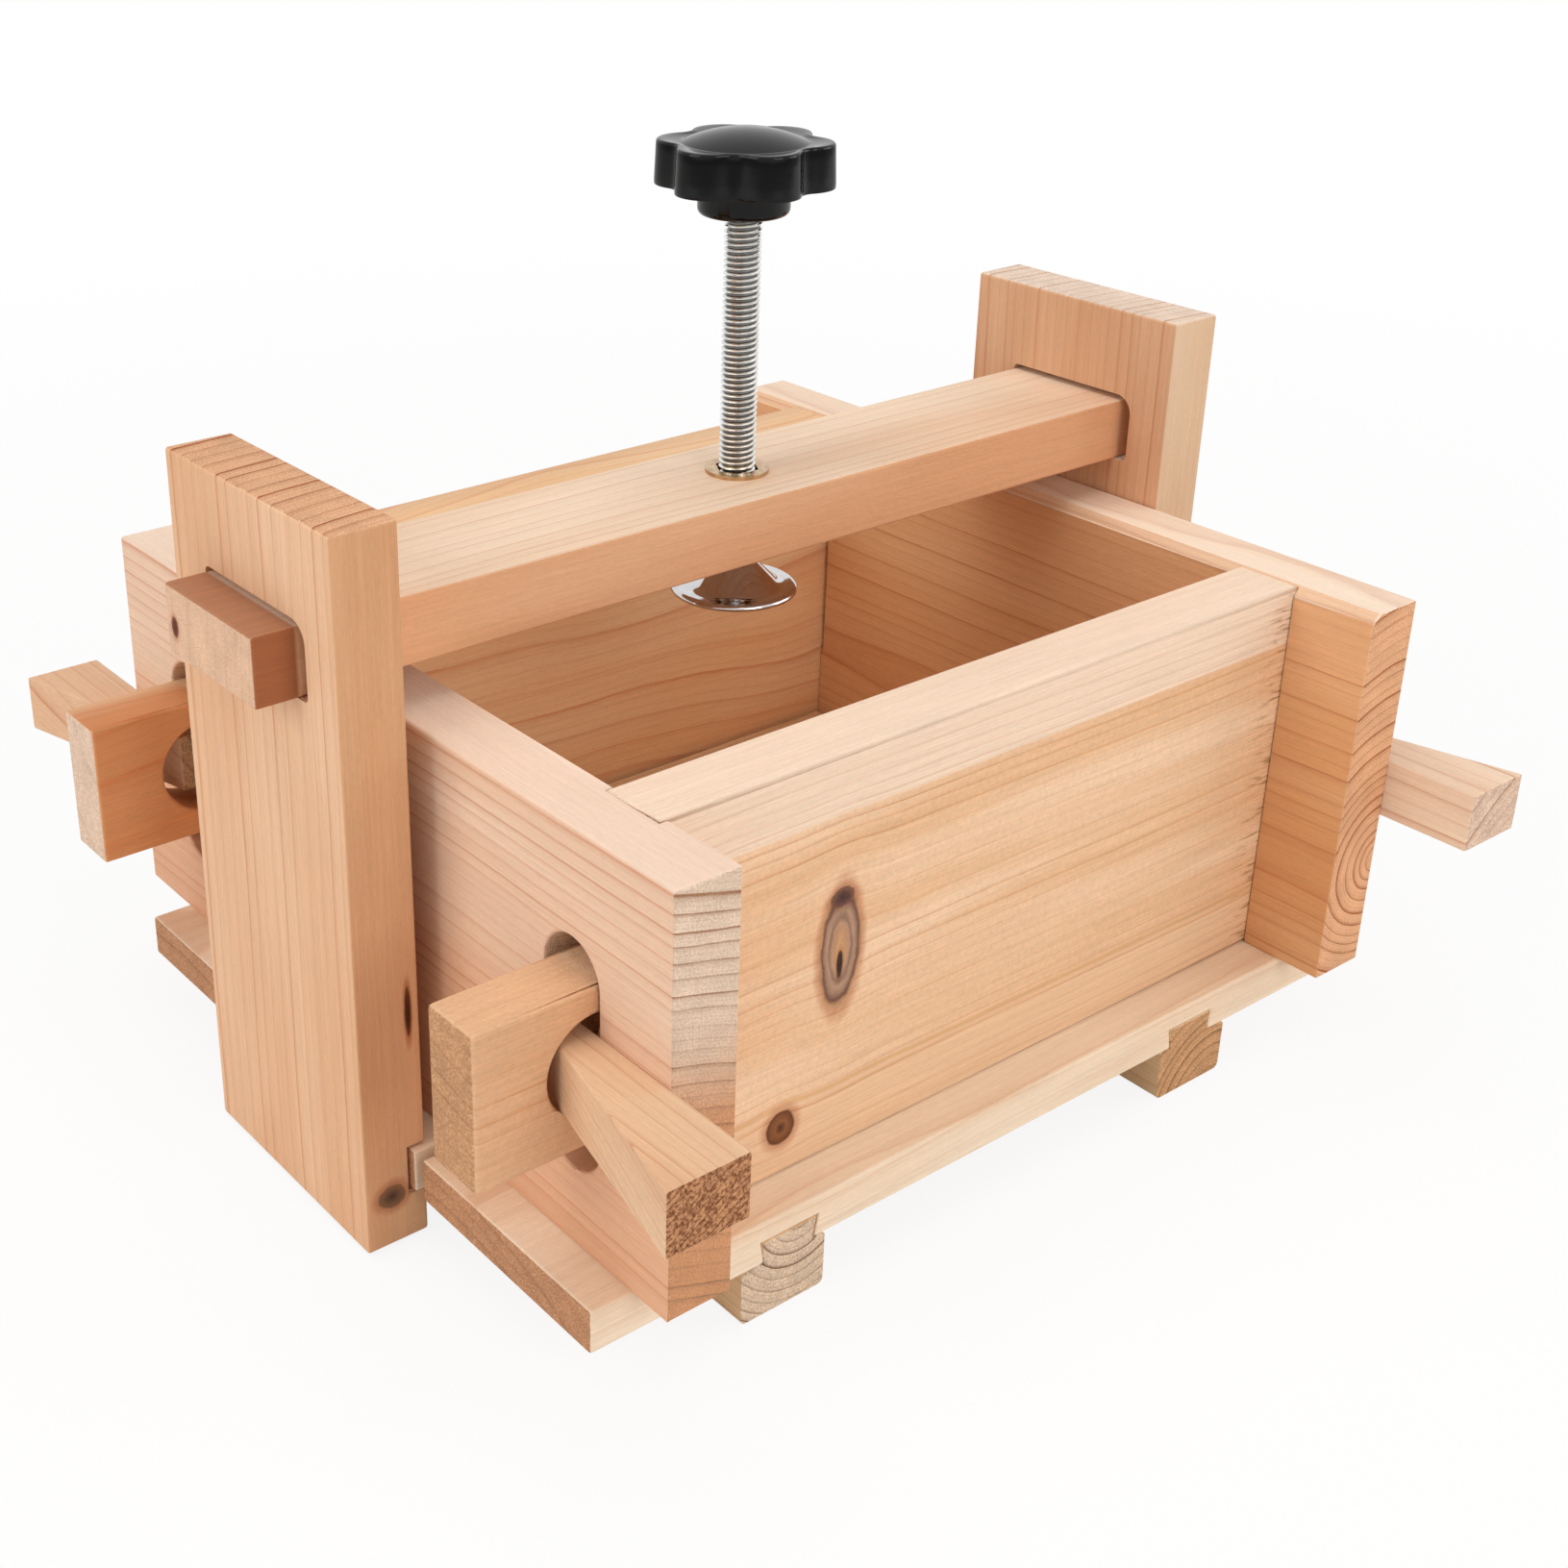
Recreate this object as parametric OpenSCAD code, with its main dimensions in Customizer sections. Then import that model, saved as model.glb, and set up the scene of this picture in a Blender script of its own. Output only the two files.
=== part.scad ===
// Screw press for bean curd: a wedged wooden box on a slatted base, under a beam with a hand screw.
// X runs along the box, Y from front to rear, Z up. The origin is on the table, under the screw.

/* [Box] */
// Distance between the outer faces of the two end boards
box_l = 205; // [150:1:300]
// Distance between the outer faces of the two side boards
box_w = 164; // [130:1:240]
// Height of the box's boards
box_h = 90; // [75:1:140]
// Thickness of an end board
end_t = 15; // [10:0.5:22]
// How far an end board stands out past a side board
end_ear = 20.5; // [12:0.5:35]
// Thickness of a side board
side_t = 15.5; // [12:0.5:22]
// Depth of the groove that seats a side board in an end board
groove_d = 1.8; // [0.6:0.1:4]
// Bevel on the right end board's inner top edge
end_bevel = 2.2; // [0.4:0.1:5]

/* [Tenons] */
// Height of a tenon
tenon_h = 33.3; // [26:0.1:40]
// Height of a tenon's underside above the base
tenon_lift = 27.7; // [22:0.1:34]
// Depth of the shoulder on a tenon's outer side
tenon_outer_step = 0.7; // [0.3:0.1:2]
// Depth of the shoulder on a tenon's inner side
tenon_inner_step = 1; // [0.3:0.1:2]
// How far a tenon stands out of an end board
tenon_out = 26.75; // [18:0.25:40]
// Gap between a tenon and its mortise, outer side
mortise_outer_gap = 0.5; // [0.2:0.1:2]
// Gap between a tenon and its mortise, inner side
mortise_inner_gap = 2; // [0.2:0.1:3]
// Room in a mortise below the tenon
mortise_room_below = 10.2; // [4:0.1:14]
// Room in a mortise above the tenon
mortise_room_above = 6.5; // [4:0.1:14]

/* [Wedges] */
// Diameter of the hole through a tenon
wedge_hole_d = 21.6; // [18:0.2:24]
// How far the hole's centre lies inside the end board's outer face
wedge_hole_inset = 0.3; // [0:0.1:2]
// Height of a wedge
wedge_h = 13.6; // [10:0.1:16]
// How much wider a wedge gets for each millimetre of its length
wedge_taper = 0.24; // [0.1:0.01:0.3]
// Length of a wedge outside its tenon
wedge_out = 42.5; // [30:0.5:60]
// How far a wedge's tip reaches past its tenon's inner side
wedge_tip_out = 0.7; // [0:0.1:3]

/* [Base] */
// How much wider the base is than the box
base_extra_w = 11.5; // [8:0.5:40]
// Drainage gap between two base planks
plank_gap = 3; // [1:0.5:6]
// Thickness of a base plank
plank_t = 10; // [8:0.5:16]
// How far the base's middle stands forward of the box's
base_forward = 4; // [0:0.5:5.5]
// Distance from the end of the base to the middle of a batten
batten_inset = 47.45; // [25:0.05:60]
// Width of a batten
batten_w = 21.6; // [18:0.1:30]
// Height of a batten below the planks
batten_h = 12.5; // [8:0.5:25]
// Rounding of a batten's lower corners
batten_round = 1.5; // [0.5:0.1:4]
// Height of a batten's dovetail tongue
tongue_h = 5; // [3:0.5:6]
// Width of the tongue where it leaves the batten
tongue_neck_w = 12.6; // [9:0.1:16]
// How much wider the tongue is at its top
tongue_flare = 1.6; // [0.8:0.1:3]
// How far the tongue lies off the batten's middle
tongue_shift = 1.4; // [0:0.1:2.5]

/* [Frame] */
// Width of an upright
upright_w = 62; // [50:1:90]
// Thickness of an upright
upright_t = 14.5; // [10:0.5:20]
// Play of the box between the two uprights
box_play = 6.3; // [1:0.1:16]
// Gap that was left between the box and the right upright
right_gap = 0.4; // [0.1:0.05:3]
// Gap between an upright's foot and the table
upright_foot_gap = 1; // [0.5:0.1:3]
// Height of an upright above its slot
upright_head = 20.3; // [12:0.1:40]
// How far an upright's groove reaches over the end of the base
hook_reach = 3.6; // [1:0.1:5]
// Gap between the end of the base and the bottom of that groove
hook_end_gap = 0.4; // [0.2:0.1:1]
// Gap between the groove and the base's upper and lower faces
hook_side_gap = 0.5; // [0.2:0.1:1]
// Width of the top beam
beam_w = 34; // [28:1:50]
// Thickness of the top beam
beam_t = 14.5; // [12:0.5:24]
// Gap between the box and the top beam
head_gap = 8.8; // [6:0.1:25]
// How far the beam stands out past an upright
beam_out = 9.2; // [4:0.1:20]
// Gap between the beam and the front of its slot
slot_front_gap = 3.4; // [2:0.1:6]
// Gap between the beam and the rear of its slot
slot_rear_gap = 0.4; // [0.2:0.1:2]
// Gap between the beam and the top of its slot
slot_top_gap = 1.4; // [0.5:0.1:3]
// Rounding of the slot's upper front corner
slot_round = 4.5; // [2:0.1:6]
// Rounding of the slot's other rounded corners
slot_small_round = 1.4; // [0.5:0.1:2]

/* [Screw] */
// Outer diameter of the threaded rod
rod_d = 8; // [6:0.5:10]
// Distance from the foot's underside to the knob's underside
rod_free = 83.9; // [76:0.1:120]
// How far the foot's underside hangs below the beam
foot_drop = 13.3; // [12.5:0.1:60]
// Radial clearance between the rod and what it turns in
rod_clear = 0.06; // [0.02:0.01:0.1]
// Outer diameter of the threaded insert
insert_d = 12.3; // [11.5:0.1:16]
// Length of the insert inside the beam
insert_l = 11; // [8:0.5:12]
// How far the insert's flange stands out round its body
flange_ring = 0.85; // [0.5:0.05:3]
// Thickness of the insert's flange
flange_t = 0.9; // [0.6:0.1:1.5]
// How much wider than the rod the insert's hex socket is across its flats
hex_extra = 0.6; // [0.3:0.1:1.2]
// Depth of the insert's hex socket
hex_d = 4.5; // [2:0.5:6]

/* [Knob] */
// Diameter across the knob's lobes
knob_d = 37.7; // [32:0.1:50]
// Number of lobes
knob_lobes = 6; // [5:1:8]
// Angle that the knob was left at
knob_turn = 12; // [0:1:59]
// Radius of a lobe
lobe_r = 7; // [5:0.1:8]
// Radius of the hollow between two lobes
valley_r = 4.2; // [3:0.1:8]
// Height of the lobed rim
lobe_h = 9.2; // [6:0.1:14]
// Diameter of the hub under the lobes
hub_d = 19.4; // [17:0.1:26]
// Height of the hub under the lobes
hub_h = 5.9; // [3:0.1:10]
// Rounding of the hub's lower edge
hub_round = 1.6; // [0.5:0.1:3]
// Diameter of the domed top
dome_d = 26.3; // [20:0.1:30]
// Height of the domed top
dome_h = 2.5; // [1:0.1:5]
// Wall of the threaded bush in the knob
bush_wall = 2; // [1:0.1:3]
// Length of that bush
bush_l = 11; // [8:0.5:13]
// How far the rod is screwed into the knob
rod_in_knob = 10; // [6:0.5:11]

/* [Foot] */
// Diameter of the presser foot
foot_d = 28.4; // [26:0.1:40]
// Thickness of the foot's rim
foot_rim_t = 1.5; // [1.2:0.1:3]
// Width of the flat ring between the rim's edge and the cone
foot_ring_w = 4; // [2:0.1:5]
// Wall of the foot's cone
foot_wall = 1.2; // [0.8:0.1:1.6]
// How far the foot's pad stands out below the rim
pad_proud = 0.3; // [0.1:0.1:1]
// Gap between the rod's flared end and the foot around it
swivel_gap = 0.3; // [0.2:0.05:0.5]

/* [Press board] */
// Thickness of the press board
press_t = 5; // [4:0.5:12]
// Gap between the press board and the walls of the box
press_gap = 1.5; // [0.5:0.1:4]
// Width of the rail on the press board
rail_w = 40; // [32:1:60]
// How far the rail stops short of the press board's end
rail_inset = 11; // [2:0.5:30]
// Thickness of the rail
rail_t = 8; // [5:0.5:12]

/* [Hidden] */

wood_pale = "#f2cfa8";
wood_warm = "#e3b184";
wood_deep = "#cf9468";
zinc_yellow = "#c9b77c";

slip = 0.1; // clearance of pieces that are slipped or pressed together
past = 1; // how far a cutter runs past the face it cuts

// Levels, from the table up
deck_z = batten_h + plank_t;
box_top = deck_z + box_h;
beam_z = box_top + head_gap;
beam_top = beam_z + beam_t;
slot_h = beam_t + slot_top_gap;
upright_top = beam_z + slot_h + upright_head;

// Box: outer and inner faces, tenons and their holes
end_out = box_l / 2;
end_in = end_out - end_t;
side_out = box_w / 2;
side_in = side_out - side_t;
tenon_y_out = side_out - tenon_outer_step;
tenon_y_in = side_in + tenon_inner_step;
tenon_z = deck_z + tenon_lift;
tenon_mid = tenon_z + tenon_h / 2;
wedge_hole_x = end_out - wedge_hole_inset;

// Wedge: its width where it leaves the tenon just fills the hole beside the end board
wedge_chord = sqrt(pow(wedge_hole_d / 2, 2) - pow(wedge_h / 2, 2));
wedge_w = wedge_chord - wedge_hole_inset - slip;
wedge_in = tenon_y_out - tenon_y_in + wedge_tip_out;

// Base and frame: the box has play between the uprights, and the base reaches into their grooves
upright_in = end_out + box_play / 2;
box_x = box_play / 2 - right_gap; // where the box was left, to the right of the middle
upright_out = upright_in + upright_t;
beam_l = 2 * (upright_out + beam_out);
base_l = 2 * (upright_in + hook_reach);
base_w = box_w + base_extra_w;
plank_w = (base_w - 2 * plank_gap) / 3;
batten_x = base_l / 2 - batten_inset;

// Screw, from the foot up
foot_z = beam_z - foot_drop;
knob_z = foot_z + rod_free;
lobe_z = knob_z + hub_h;
cone_r = foot_d / 2 - foot_ring_w; // the cone rises at 45 degrees
neck_r = rod_d / 2 + rod_clear;
cone_top = foot_rim_t + cone_r - neck_r - foot_wall / 2;
cone_inner = cone_r + foot_rim_t - foot_wall * sqrt(2); // inner cone's radius at the foot's underside
pad_r = cone_r + foot_ring_w / 2;
pad_recess = 0.4;
pad_boss = 3.2;
flare_z = pad_boss + swivel_gap;
flare_edge = 1;
flare_r = cone_inner - swivel_gap * sqrt(2) - flare_z - flare_edge;
bush_d = rod_d + 2 * bush_wall;

// Press board: half its length, with its gap to the box's walls
press_half_l = end_in - press_gap;

// Draws its children on the right, or mirrored on the left
module on_side(side) {
    mirror([side == "left" ? 1 : 0, 0, 0]) children();
}

// Puts its children where the box was left
module in_box() {
    translate([box_x, 0, 0]) children();
}

// Draws its children at the rear, or mirrored at the front
module on_face(face) {
    mirror([0, face == "front" ? 1 : 0, 0]) children();
}

// Stands a flat shape in Y and Z, and gives it a thickness along X from x0 to x1
module slab_x(x0, x1) {
    translate([x0, 0, 0]) rotate([90, 0, 90]) linear_extrude(x1 - x0) children();
}

// The waste outside a rounded corner at the origin, whose wood lies towards +X and +Y
module corner_waste(r) {
    difference() {
        translate([-past, -past]) square(r + past);
        translate([r, r]) circle(r = r, $fn = 48);
    }
}

// The tongue's outline, widest at its top; slack widens it into the groove that takes it
module tongue_outline(slack = 0) {
    half_neck = tongue_neck_w / 2 + slack;
    half_top = half_neck + tongue_flare / 2;
    polygon([[-half_neck, 0], [half_neck, 0], [half_top, tongue_h + slack], [-half_top, tongue_h + slack]]);
}

// A run along Y, centred under the base, of an outline drawn in X and Z
module along_base(length) {
    translate([0, length / 2 - base_forward, 0]) rotate([90, 0, 0]) linear_extrude(length) children();
}

module base_plank(row) {
    first_y = -base_forward - base_w / 2 + row * (plank_w + plank_gap);
    color(wood_warm) difference() {
        translate([-base_l / 2, first_y, batten_h]) cube([base_l, plank_w, plank_t]);
        for (side = ["left", "right"]) {
            on_side(side) translate([batten_x - tongue_shift, 0, batten_h])
                along_base(base_w + 2 * past) union() {
                    tongue_outline(slip);
                    translate([-tongue_neck_w / 2 - slip, -past]) square([tongue_neck_w + 2 * slip, past + 0.01]);
                }
        }
    }
}

module base_batten(side) {
    color(wood_warm) on_side(side) translate([batten_x, 0, 0]) along_base(base_w) union() {
        translate([-tongue_shift, batten_h - 0.01]) tongue_outline();
        difference() {
            translate([-batten_w / 2, 0]) square([batten_w, batten_h]);
            translate([-batten_w / 2, 0]) corner_waste(batten_round);
            translate([batten_w / 2, 0]) mirror([1, 0]) corner_waste(batten_round);
        }
    }
}

// Mortise through an end board: a slot with full round ends, drawn for the rear
module mortise() {
    y0 = tenon_y_in - mortise_inner_gap;
    y1 = tenon_y_out + mortise_outer_gap;
    r = (y1 - y0) / 2;
    z0 = tenon_z - mortise_room_below + r;
    z1 = tenon_z + tenon_h + mortise_room_above - r;
    slab_x(end_in - past, end_out + past) union() {
        translate([y0, z0]) square([y1 - y0, z1 - z0]);
        for (z = [z0, z1]) translate([y0 + r, z]) circle(r = r, $fn = 64);
    }
}

module end_board(side) {
    half_w = side_out + end_ear;
    color(side == "left" ? wood_warm : wood_pale) in_box() on_side(side) difference() {
        translate([end_in, -half_w, deck_z]) cube([end_t, 2 * half_w, box_h]);
        for (face = ["front", "rear"]) on_face(face) {
            mortise();
            translate([end_in - past, side_in - slip, deck_z - past])
                cube([groove_d + past, side_t + 2 * slip, box_h + 2 * past]);
        }
        if (side == "right")
            translate([end_in, 0, box_top]) rotate([0, 45, 0])
                cube([end_bevel * sqrt(2), 2 * half_w + 2 * past, end_bevel * sqrt(2)], center = true);
    }
}

module side_board(face) {
    shoulder = end_in + groove_d - slip;
    tenon_end = end_out + tenon_out;
    color(wood_pale) in_box() on_face(face) difference() {
        union() {
            translate([-shoulder, side_in, deck_z]) cube([2 * shoulder, side_t, box_h]);
            translate([-tenon_end, tenon_y_in, tenon_z])
                cube([2 * tenon_end, tenon_y_out - tenon_y_in, tenon_h]);
        }
        for (x = [-wedge_hole_x, wedge_hole_x])
            translate([x, side_in - past, tenon_mid]) rotate([-90, 0, 0])
                cylinder(d = wedge_hole_d, h = side_t + 2 * past, $fn = 96);
    }
}

// Wedge against the right end board at the rear, tapering only away from that board
module wedge(side, face) {
    tip_y = tenon_y_out - wedge_in;
    butt_y = tenon_y_out + wedge_out;
    color(wood_warm) in_box() on_side(side) on_face(face)
        translate([end_out, 0, tenon_mid - wedge_h / 2]) linear_extrude(wedge_h)
            polygon([[0, tip_y], [wedge_w - wedge_taper * wedge_in, tip_y],
                     [wedge_w + wedge_taper * wedge_out, butt_y], [0, butt_y]]);
}

// Opening for the beam, with its front corners and its upper rear corner rounded
module slot_outline() {
    front = -beam_w / 2 - slot_front_gap;
    rear = beam_w / 2 + slot_rear_gap;
    top = beam_z + slot_h;
    difference() {
        translate([front, beam_z]) square([rear - front, slot_h]);
        translate([front, top]) mirror([0, 1]) corner_waste(slot_round);
        translate([front, beam_z]) corner_waste(slot_small_round);
        translate([rear, top]) mirror([1, 0]) mirror([0, 1]) corner_waste(slot_small_round);
    }
}

module upright(side) {
    hook_h = plank_t + 2 * hook_side_gap;
    color(wood_warm) on_side(side) difference() {
        translate([upright_in, -upright_w / 2, upright_foot_gap])
            cube([upright_t, upright_w, upright_top - upright_foot_gap]);
        slab_x(upright_in - past, upright_out + past) slot_outline();
        translate([upright_in - past, -upright_w / 2 - past, batten_h - hook_side_gap])
            cube([hook_reach + hook_end_gap + past, upright_w + 2 * past, hook_h]);
    }
}

module top_beam() {
    color(wood_pale) difference() {
        translate([-beam_l / 2, -beam_w / 2, beam_z]) cube([beam_l, beam_w, beam_t]);
        translate([0, 0, beam_z - past]) cylinder(d = insert_d + slip, h = beam_t + 2 * past, $fn = 96);
    }
}

module threaded_insert() {
    hex_w = rod_d + hex_extra;
    color(zinc_yellow) difference() {
        union() {
            translate([0, 0, beam_top - insert_l]) cylinder(d = insert_d, h = insert_l + 0.01, $fn = 96);
            translate([0, 0, beam_top]) cylinder(d = insert_d + 2 * flange_ring, h = flange_t, $fn = 96);
        }
        translate([0, 0, beam_top - insert_l - past])
            cylinder(r = neck_r, h = insert_l + flange_t + 2 * past, $fn = 96);
        translate([0, 0, beam_top + flange_t - hex_d])
            cylinder(d = hex_w / cos(30), h = hex_d + past, $fn = 6);
    }
}

// The rod, from its flared end inside the foot to its end inside the knob
module screw_rod() {
    r = rod_d / 2;
    edge = 0.6;
    top = rod_free + rod_in_knob;
    color("silver") translate([0, 0, foot_z]) rotate_extrude($fn = 96)
        polygon([[0, flare_z], [flare_r, flare_z], [flare_r, flare_z + flare_edge],
                 [r, flare_z + flare_edge + flare_r - r], [r, top - edge], [r - edge, top], [0, top]]);
}

// Lobes joined by hollows that run smoothly into them
module knob_outline() {
    step = 360 / knob_lobes;
    lobe_at = knob_d / 2 - lobe_r;
    reach = lobe_r + valley_r;
    valley_at = lobe_at * cos(step / 2) + sqrt(pow(reach, 2) - pow(lobe_at * sin(step / 2), 2));
    difference() {
        union() {
            for (i = [0:knob_lobes - 1]) rotate(i * step) translate([lobe_at, 0]) circle(r = lobe_r, $fn = 64);
            polygon([for (i = [0:knob_lobes - 1], k = [0, 1])
                let (a = (i + k / 2) * step, d = k == 0 ? lobe_at : valley_at) [d * cos(a), d * sin(a)]]);
        }
        for (i = [0:knob_lobes - 1])
            rotate((i + 0.5) * step) translate([valley_at, 0]) circle(r = valley_r + 0.02, $fn = 64);
    }
}

module star_knob() {
    dome_r = (pow(dome_d / 2, 2) + pow(dome_h, 2)) / (2 * dome_h);
    lobe_top = lobe_z + lobe_h;
    color("#1d1c1f") difference() {
        union() {
            translate([0, 0, lobe_z]) rotate(knob_turn) linear_extrude(lobe_h) knob_outline();
            translate([0, 0, knob_z]) rotate_extrude($fn = 96) difference() {
                square([hub_d / 2, hub_h + past]);
                translate([hub_d / 2, 0]) mirror([1, 0]) corner_waste(hub_round);
            }
            intersection() {
                translate([0, 0, lobe_top + dome_h - dome_r]) sphere(r = dome_r, $fn = 128);
                translate([0, 0, lobe_top - past]) cylinder(d = dome_d, h = dome_h + 2 * past, $fn = 96);
            }
        }
        translate([0, 0, knob_z - past]) cylinder(d = bush_d + slip, h = bush_l + slip + past, $fn = 96);
    }
}

module knob_bush() {
    color("#b9a14e") translate([0, 0, knob_z]) difference() {
        cylinder(d = bush_d, h = bush_l, $fn = 96);
        translate([0, 0, -past]) cylinder(r = neck_r, h = bush_l + 2 * past, $fn = 96);
    }
}

module presser_foot() {
    rim_r = foot_d / 2;
    recess_r = pad_r + slip;
    color("#d9dadd") translate([0, 0, foot_z]) rotate_extrude($fn = 128)
        polygon([[recess_r, 0], [rim_r - foot_rim_t / 4, 0], [rim_r, foot_rim_t / 3],
                 [rim_r, foot_rim_t * 2 / 3], [rim_r - foot_rim_t / 2, foot_rim_t], [cone_r, foot_rim_t],
                 [neck_r + foot_wall / 2, cone_top], [neck_r, cone_top], [neck_r, cone_inner - neck_r],
                 [cone_inner - pad_recess, pad_recess], [recess_r, pad_recess]]);
}

module foot_pad() {
    side_gap = 0.7;
    boss_r = cone_inner - side_gap - pad_boss;
    color("#2c2c2e") translate([0, 0, foot_z]) rotate_extrude($fn = 96)
        polygon([[0, -pad_proud], [pad_r, -pad_proud], [pad_r, pad_recess - slip],
                 [boss_r + pad_boss - pad_recess, pad_recess - slip], [boss_r, pad_boss], [0, pad_boss]]);
}

module press_board() {
    half_w = side_in - press_gap;
    color(wood_deep) in_box() translate([-press_half_l, -half_w, deck_z])
        cube([2 * press_half_l, 2 * half_w, press_t]);
}

module press_rail() {
    half_l = press_half_l - rail_inset;
    color(wood_deep) in_box() translate([-half_l, -rail_w / 2, deck_z + press_t])
        cube([2 * half_l, rail_w, rail_t]);
}

base_plank(0);  // base_plank_front
base_plank(1);  // base_plank_centre
base_plank(2);  // base_plank_rear
base_batten("left");  // base_batten_left
base_batten("right");  // base_batten_right
end_board("left");  // end_board_left
end_board("right");  // end_board_right
side_board("front");  // side_board_front
side_board("rear");  // side_board_rear
wedge("left", "front");  // wedge_front_left
wedge("right", "front");  // wedge_front_right
wedge("left", "rear");  // wedge_rear_left
wedge("right", "rear");  // wedge_rear_right
upright("left");  // upright_left
upright("right");  // upright_right
top_beam();
threaded_insert();
screw_rod();
star_knob();
knob_bush();
presser_foot();
foot_pad();
press_board();
press_rail();
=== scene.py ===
import math

import bmesh
import bpy
import numpy as np
from mathutils import Euler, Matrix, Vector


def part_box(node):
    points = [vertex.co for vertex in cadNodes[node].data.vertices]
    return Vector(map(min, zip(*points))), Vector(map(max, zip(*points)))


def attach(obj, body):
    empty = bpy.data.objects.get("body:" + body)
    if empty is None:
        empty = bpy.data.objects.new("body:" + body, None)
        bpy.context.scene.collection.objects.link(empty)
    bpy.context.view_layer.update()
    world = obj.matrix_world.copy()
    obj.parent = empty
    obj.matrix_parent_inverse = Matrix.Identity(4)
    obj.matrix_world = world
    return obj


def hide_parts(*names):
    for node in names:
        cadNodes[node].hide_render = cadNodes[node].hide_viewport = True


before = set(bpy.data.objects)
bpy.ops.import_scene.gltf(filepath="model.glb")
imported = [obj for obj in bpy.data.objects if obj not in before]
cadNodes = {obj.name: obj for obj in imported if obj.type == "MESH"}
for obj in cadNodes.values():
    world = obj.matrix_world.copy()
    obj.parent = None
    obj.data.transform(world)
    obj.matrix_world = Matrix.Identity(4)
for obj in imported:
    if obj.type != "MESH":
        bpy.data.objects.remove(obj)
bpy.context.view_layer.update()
print("frame loaded:", len(cadNodes), "solids")


def linear(shade):
    # a screen colour such as "#e0b080" as linear red, green, blue and a solid alpha
    parts = [int(shade[k:k + 2], 16) / 255 for k in (1, 3, 5)]
    return tuple(c / 12.92 if c <= 0.04045 else ((c + 0.055) / 1.055) ** 2.4 for c in parts) + (1.0,)


class Wire:
    # what leaves a shader node, so that sums on it can be written as plain arithmetic
    def __init__(self, finish, socket):
        self.finish = finish
        self.socket = socket

    def __add__(self, other):
        return self.finish.maths("ADD", self, other)

    def __sub__(self, other):
        return self.finish.maths("SUBTRACT", self, other)

    def __rsub__(self, other):
        return self.finish.maths("SUBTRACT", other, self)

    def __mul__(self, other):
        return self.finish.maths("MULTIPLY", self, other)

    def __truediv__(self, other):
        return self.finish.maths("DIVIDE", self, other)

    def __pow__(self, other):
        return self.finish.maths("POWER", self, other)

    __radd__ = __add__
    __rmul__ = __mul__


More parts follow.
